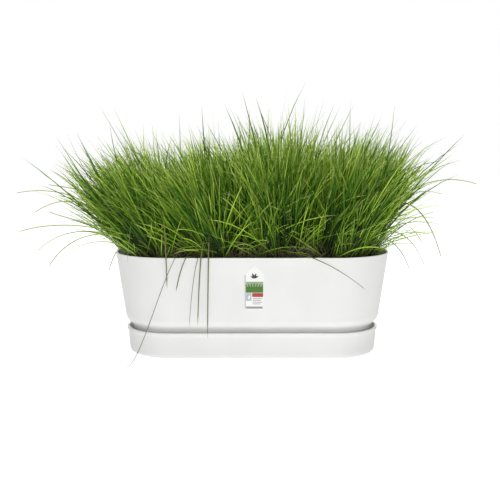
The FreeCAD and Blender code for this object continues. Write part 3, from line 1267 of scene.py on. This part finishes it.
class Overhang(Enum):
    """Where a group of long leaves arches over: plant, direction, reach, rise, fall and tip.

    The rise and the fall are the heights of the curve's two middle poles over the compost.
    """

    FRONT = (
        (2, 220.2, 0.632, 0.55, -0.70, -0.62), (1, 287.0, 0.18, 0.56, 0.30, -0.15),
        (2, 234.0, 0.31, 0.16, 0.12, -0.16), (2, 249.0, 0.21, 0.27, 0.27, -0.40),
        (2, 244.0, 0.27, 0.18, 0.10, -0.40), (2, 260.0, 0.20, 0.47, 0.47, -0.48),
        (2, 340.0, 0.91, 0.20, 0.03, -0.15),
    )
    LEFT = (
        (1, 175.0, 0.86, 0.50, 0.50, 0.45), (5, 173.0, 0.78, 0.46, 0.46, 0.49),
        (1, 189.0, 0.69, 0.47, 0.47, 0.33), (5, 183.0, 0.96, 0.24, 0.24, 0.16),
        (1, 201.0, 0.60, 0.28, 0.28, 0.36), (1, 208.0, 0.71, 0.28, 0.28, 0.10),
        (5, 160.0, 0.91, 0.18, 0.18, -0.17), (1, 222.0, 0.58, 0.20, 0.20, 0.10),
        (1, 242.0, 0.22, 0.47, 0.47, 0.02), (5, 149.0, 0.46, 0.14, 0.14, -0.20),
    )
    RIGHT = (
        (8, 6.0, 0.87, 0.57, 0.57, 0.49), (4, 350.0, 0.57, 0.53, 0.53, 0.00),
        (4, 328.0, 0.40, 0.23, 0.23, -0.05), (8, 20.0, 0.57, 0.21, 0.21, -0.16),
        (8, 35.0, 0.69, 0.27, 0.27, 0.01), (4, 338.0, 0.57, 0.51, 0.51, 0.47),
    )


@dataclass
class ArchingLeaves:
    """A group of long leaves that arch out over the rim, each on a cubic curve from its crown."""

    group: Overhang
    planting: Planting
    leaf_height: float = 262.0
    start_out: float = 34.3
    knee_shares: tuple = (0.3, 0.75)
    width: float = 2.7
    keel_share: float = 0.3
    end_width_share: float = 0.7
    narrowing_power: float = 3.0
    facing_rise: float = 1.3
    twist: float = 0.5
    front_tint: tuple = (0.1, 0.6)
    side_tint: tuple = (0.7, 1.0)
    rings: int = 24

    def build(self, material: bpy.types.Material) -> bpy.types.Object:
        """Models the group.

        Args:
            material: Finish of the leaves.

        Returns:
            The finished piece.
        """
        draw = random.Random(self.group.name)
        mesh = GrassMesh()
        tint = self.front_tint if self.group is Overhang.FRONT else self.side_tint
        for plant, direction_deg, reach, rise, fall, tip in self.group.value:
            turn = math.radians(direction_deg)
            out = Vector((math.cos(turn), math.sin(turn), 0))
            up = Vector((0, 0, self.leaf_height))
            reach_out = out * (reach * self.leaf_height)
            start = self.planting.centre(plant) + out * self.start_out
            poles = [start, start + reach_out * self.knee_shares[0] + up * rise,
                     start + reach_out * self.knee_shares[1] + up * fall, start + reach_out + up * tip]
            spine = [self.on_curve(poles, number / self.rings) for number in range(self.rings + 1)]
            facing = Vector((-out.y, out.x, self.facing_rise * abs(out.x)))
            widths = tuple(1 - (1 - self.end_width_share) * (number / self.rings) ** self.narrowing_power
                           for number in range(self.rings))
            leaf = Leaf(spine, facing, draw.gauss(0, self.twist), self.width, draw.uniform(*tint))
            mesh.add_leaf(leaf, self.keel_share, widths)
        return mesh.piece(f"arching_leaves_{self.group.name.lower()}_blades", material)

    @staticmethod
    def on_curve(poles: list[Vector], share: float) -> Vector:
        """Point of a cubic curve at a share of its run."""
        rest = 1 - share
        return (poles[0] * rest ** 3 + poles[1] * (3 * rest * rest * share)
                + poles[2] * (3 * rest * share * share) + poles[3] * share ** 3)


@dataclass
class DryStems:
    """Dry, brown stems and fallen leaves that lie about the crowns, densest in front."""

    planting: Planting
    stems: int = 1200
    front_part: float = 0.45
    front_out: float = -70.0
    root_depth: float = 1.0
    length: float = 66.0
    length_shares: tuple = (0.4, 1.2)
    tilt_deg: tuple = (15.0, 80.0)
    sag_share: float = 0.12
    twist: float = 0.6
    width: float = 1.7
    keel_share: float = 0.4
    bed_out: float = 95.0
    bed_half: float = 231.0
    out_spare: float = 3.0
    down_spare: float = 2.0
    spine_shares: tuple = (0.0, 0.3, 0.6, 0.85, 1.0)
    widths: tuple = (0.8, 1.0, 1.0, 0.6)

    def build(self, material: bpy.types.Material) -> bpy.types.Object:
        """Models the stems.

        Args:
            material: Finish of dry stems.

        Returns:
            The finished piece.
        """
        draw = random.Random("dry stems")
        mesh = GrassMesh()
        made = 0
        while made < self.stems:
            root = Vector((draw.uniform(-self.bed_half, self.bed_half),
                           draw.uniform(-self.bed_out, self.bed_out),
                           self.planting.soil_up - self.root_depth))
            if draw.random() < self.front_part:
                root.y = draw.uniform(-self.bed_out, self.front_out)
            if self.planting.out(root) > self.bed_out:
                continue
            tilt = math.radians(draw.uniform(*self.tilt_deg))
            heading = draw.uniform(0, 2 * math.pi)
            length = self.length * draw.uniform(*self.length_shares)
            sag = Vector((0, 0, -length * draw.uniform(0, self.sag_share)))
            spine = [root + tilted(tilt, heading) * (length * share) + sag * share ** 2
                     for share in self.spine_shares]
            if max(self.planting.out(point) for point in spine) > self.bed_out + self.out_spare:
                continue
            if min(point.z for point in spine) < self.planting.soil_up - self.down_spare:
                continue
            facing = Vector((-math.sin(heading), math.cos(heading), 0))
            mesh.add_leaf(Leaf(spine, facing, draw.gauss(0, self.twist), self.width, draw.random()),
                          self.keel_share, self.widths)
            made += 1
        return mesh.piece("dry_stems", material)


@dataclass
class Compost:
    """Root-bound compost as it fills the trough, with a lumpy top and crumbs on it."""

    trough: Trough
    planting: Planting
    gap: float = 0.3
    rim_radius: float = 2.0
    knee_radius: float = 12.0
    ledge_radius: float = 8.0
    foot_radius: float = 3.0
    voxel: float = 4.0
    side_pits: float = 1.8
    lump: float = 26.0
    lump_depth: float = 5.0
    crumbs: int = 900
    crumb: float = 2.6
    crumb_shares: tuple = (0.35, 1.3)
    # Least and most stretch of a crumb along each axis
    crumb_stretches: tuple = ((0.7, 1.6), (0.7, 1.2), (0.4, 0.9))
    crumb_jolt: float = 0.12
    crumb_up: float = 0.5
    bed_half: tuple = (240.0, 95.0)
    bed_out: float = 94.0

    def build(self, material: bpy.types.Material) -> bpy.types.Object:
        """Models the block of compost.

        Args:
            material: Finish of the compost.

        Returns:
            The finished piece.
        """
        slope = math.tan(math.radians(self.trough.draft_deg))
        line = inner_line(self.trough.wall_line(), self.trough.wall + self.gap)
        rim, knee, ledge = line[:3]
        top, base = self.planting.soil_up, self.trough.base_up + self.trough.floor + self.gap
        outline = [
            Corner(0, top),
            Corner(rim.out - (rim.up - top) * slope, top, self.rim_radius),
            Corner(knee.out, knee.up, self.knee_radius),
            Corner(ledge.out, ledge.up, self.ledge_radius),
            Corner(ledge.out - (ledge.up - base) * slope, base, self.foot_radius),
            Corner(0, base),
        ]
        piece = SpineShell("compost_block", outline, self.planting.spine_half).build()
        activate(piece)
        apply_modifier(piece, "REMESH", mode="VOXEL", voxel_size=self.voxel * MM)
        pits = bpy.data.textures.new("compost_pits", "CLOUDS")
        pits.noise_scale = self.lump * MM
        near_top = (top - self.voxel) * MM
        top_points = [point.index for point in piece.data.vertices if point.co.z > near_top]
        piece.vertex_groups.new(name="top").add(top_points, 1.0, "REPLACE")
        apply_modifier(piece, "DISPLACE", texture=pits, texture_coords="LOCAL", strength=self.side_pits * MM,
                       mid_level=1.0)
        apply_modifier(piece, "DISPLACE", texture=pits, texture_coords="LOCAL", strength=self.lump_depth * MM,
                       mid_level=0.5, direction="Z", vertex_group="top")
        finish_mesh(piece, material, smooth_deg=180.0)
        return piece

    def build_crumbs(self, material: bpy.types.Material) -> bpy.types.Object:
        """Models the loose crumbs and bits of bark on the compost.

        Args:
            material: Finish of the compost.

        Returns:
            The finished piece.
        """
        draw = random.Random("crumbs")
        clear_selection()
        bpy.ops.mesh.primitive_ico_sphere_add(subdivisions=1, radius=1.0)
        pattern = bpy.context.object
        corners = [point.co.copy() for point in pattern.data.vertices]
        sides = [tuple(face.vertices) for face in pattern.data.polygons]
        bpy.data.objects.remove(pattern)
        points, faces = [], []
        half_x, half_y = self.bed_half
        while len(faces) < self.crumbs * len(sides):
            place = Vector((draw.uniform(-half_x, half_x), draw.uniform(-half_y, half_y),
                            self.planting.soil_up + self.crumb_up))
            if self.planting.out(place) > self.bed_out:
                continue
            size = self.crumb * draw.uniform(*self.crumb_shares)
            stretch = Vector([draw.uniform(*span) for span in self.crumb_stretches])
            turn = Matrix.Rotation(draw.uniform(0, math.pi), 3, "Z")
            first = len(points)
            for corner in corners:
                jolt = Vector([draw.gauss(0, self.crumb_jolt) for _ in range(3)])
                points.append(tuple((place + turn @ (corner * stretch + jolt) * size) * MM))
            faces += [tuple(first + corner for corner in side) for side in sides]
        return mesh_piece("compost_crumbs", points, faces, material)


@dataclass(frozen=True)
class SoftLight:
    """Large square area light: where it stands, the point that it faces, its side and its watts."""

    name: str
    place: tuple
    aim: tuple
    side: float
    watts: float


@dataclass
class Studio:
    """Plain pale floor, soft lights and the camera."""

    camera_at: tuple = (-4.0, -1653.7, 404.4)
    look_at: tuple = (-4.04, 0.0, 186.07)
    lens: float = 65.1
    sensor: float = 36.0
    sight_m: float = 50.0
    floor_size: float = 12000.0
    floor_colour: str = "#8C8C8C"
    floor_roughness: float = 0.9
    glow_colour: str = "#FFFFFF"
    floor_glow: float = 0.72
    world_glow: float = 0.25
    lights: tuple = (
        SoftLight("key_light", (100, -300, 2300), (0, 0, 200), 700, 44),
        SoftLight("fill_light", (100, -2150, 100), (0, 0, 100), 900, 22.5),
        SoftLight("back_light", (0, 2000, 900), (0, 0, 150), 1500, 17),
    )

    def build(self) -> None:
        """Sets up floor, world, lights and camera."""
        self.floor()
        self.world()
        for light in self.lights:
            lamp = bpy.data.lights.new(light.name, "AREA")
            lamp.size = light.side * MM
            lamp.energy = light.watts
            self.stand(lamp, light.place, light.aim)
        self.camera()
        bpy.context.scene.view_settings.view_transform = "Standard"

    def floor(self) -> None:
        """Lays the floor."""
        clear_selection()
        bpy.ops.mesh.primitive_plane_add(size=self.floor_size * MM)
        floor = bpy.context.object
        floor.name = "floor"
        material, tree = new_material("studio_floor")
        shader = tree.nodes["Principled BSDF"]
        shader.inputs["Base Color"].default_value = linear(self.floor_colour)
        shader.inputs["Roughness"].default_value = self.floor_roughness
        shader.inputs["Emission Color"].default_value = linear(self.glow_colour)
        tree.links.new(self.glow(tree, self.floor_glow), shader.inputs["Emission Strength"])
        floor.data.materials.append(material)

    def world(self) -> None:
        """Surrounds the scene with white, which lights the planter more softly than it shows."""
        world = bpy.data.worlds.new("studio_white")
        bpy.context.scene.world = world
        world.use_nodes = True
        tree = world.node_tree
        background = tree.nodes["Background"]
        background.inputs["Color"].default_value = linear(self.glow_colour)
        tree.links.new(self.glow(tree, self.world_glow), background.inputs["Strength"])

    @staticmethod
    def glow(tree: bpy.types.NodeTree, lit: float) -> bpy.types.NodeSocket:
        """Adds a strength that shows as full white in the picture and lights the planter more softly."""
        path = add_node(tree, "ShaderNodeLightPath")
        return add_node(tree, "ShaderNodeMapRange", values={3: lit, 4: 1.0},
                        links={0: path.outputs["Is Camera Ray"]}).outputs[0]

    @staticmethod
    def stand(data: bpy.types.ID, place: tuple, aim: tuple) -> bpy.types.Object:
        """Stands a light or a camera at a place, facing a point.

        Args:
            data: The light or the camera.
            place: Where it stands, in millimetres.
            aim: The point that it faces.

        Returns:
            Its object.
        """
        item = add_object(data.name, data)
        item.location = Vector(place) * MM
        item.rotation_euler = (Vector(aim) - Vector(place)).to_track_quat("-Z", "Y").to_euler()
        return item

    def camera(self) -> None:
        """Places the camera at the photograph's viewing angle."""
        lens = bpy.data.cameras.new("camera")
        lens.lens = self.lens
        lens.sensor_width = self.sensor
        lens.clip_end = self.sight_m
        bpy.context.scene.camera = self.stand(lens, self.camera_at, self.look_at)


def hand_over(piece: bpy.types.Object, body: str, slot: str, *nodes: str) -> None:
    """Fixes a piece to its body and hides the CAD nodes that it stands for."""
    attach(piece, body)
    if nodes:
        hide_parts(*nodes)
    LOG.info("%s: %d faces, rides on %s", piece.name, len(piece.data.polygons), body)


def main() -> None:
    """Builds the planter's pieces in order, and the studio round them."""
    logging.basicConfig(level=logging.INFO, format="%(message)s")
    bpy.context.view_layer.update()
    pot_finish = MouldedPolypropylene().material()
    leaf_finish = FRESH_LEAF.material()
    long_leaf_finish = LONG_LEAF.material()
    dry_finish = DEAD_LEAF.material()
    compost_finish = PottingCompost().material()
    root_finish = MattedRoots().material()
    trough = Trough()
    planting = Planting()
    hand_over(Saucer().build(pot_finish), "saucer", "pot_plastic", "saucer")
    hand_over(trough.build(pot_finish), "trough", "pot_plastic", "trough")
    hand_over(FrontLabel().build(), "trough", "label_card", "front_label")
    compost = Compost(trough, planting)
    hand_over(compost.build(compost_finish), "planting", "compost", "potting_soil")
    hand_over(compost.build_crumbs(compost_finish), "planting", "compost")
    hand_over(DryStems(planting).build(dry_finish), "planting", "foliage")
    for number in range(1, 2 * planting.columns + 1):
        plant = GrassPlant(number, planting)
        hand_over(plant.build(leaf_finish), "planting", "foliage", f"grass_plant_{number}")
        ball_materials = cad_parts[f"root_ball_{number}"].data.materials
        ball_materials.clear()
        ball_materials.append(root_finish)
    for group in Overhang:
        arches = ArchingLeaves(group, planting).build(long_leaf_finish)
        hand_over(arches, "planting", "foliage", f"arching_leaves_{group.name.lower()}")
    Studio().build()


if __name__ == "__main__":
    main()
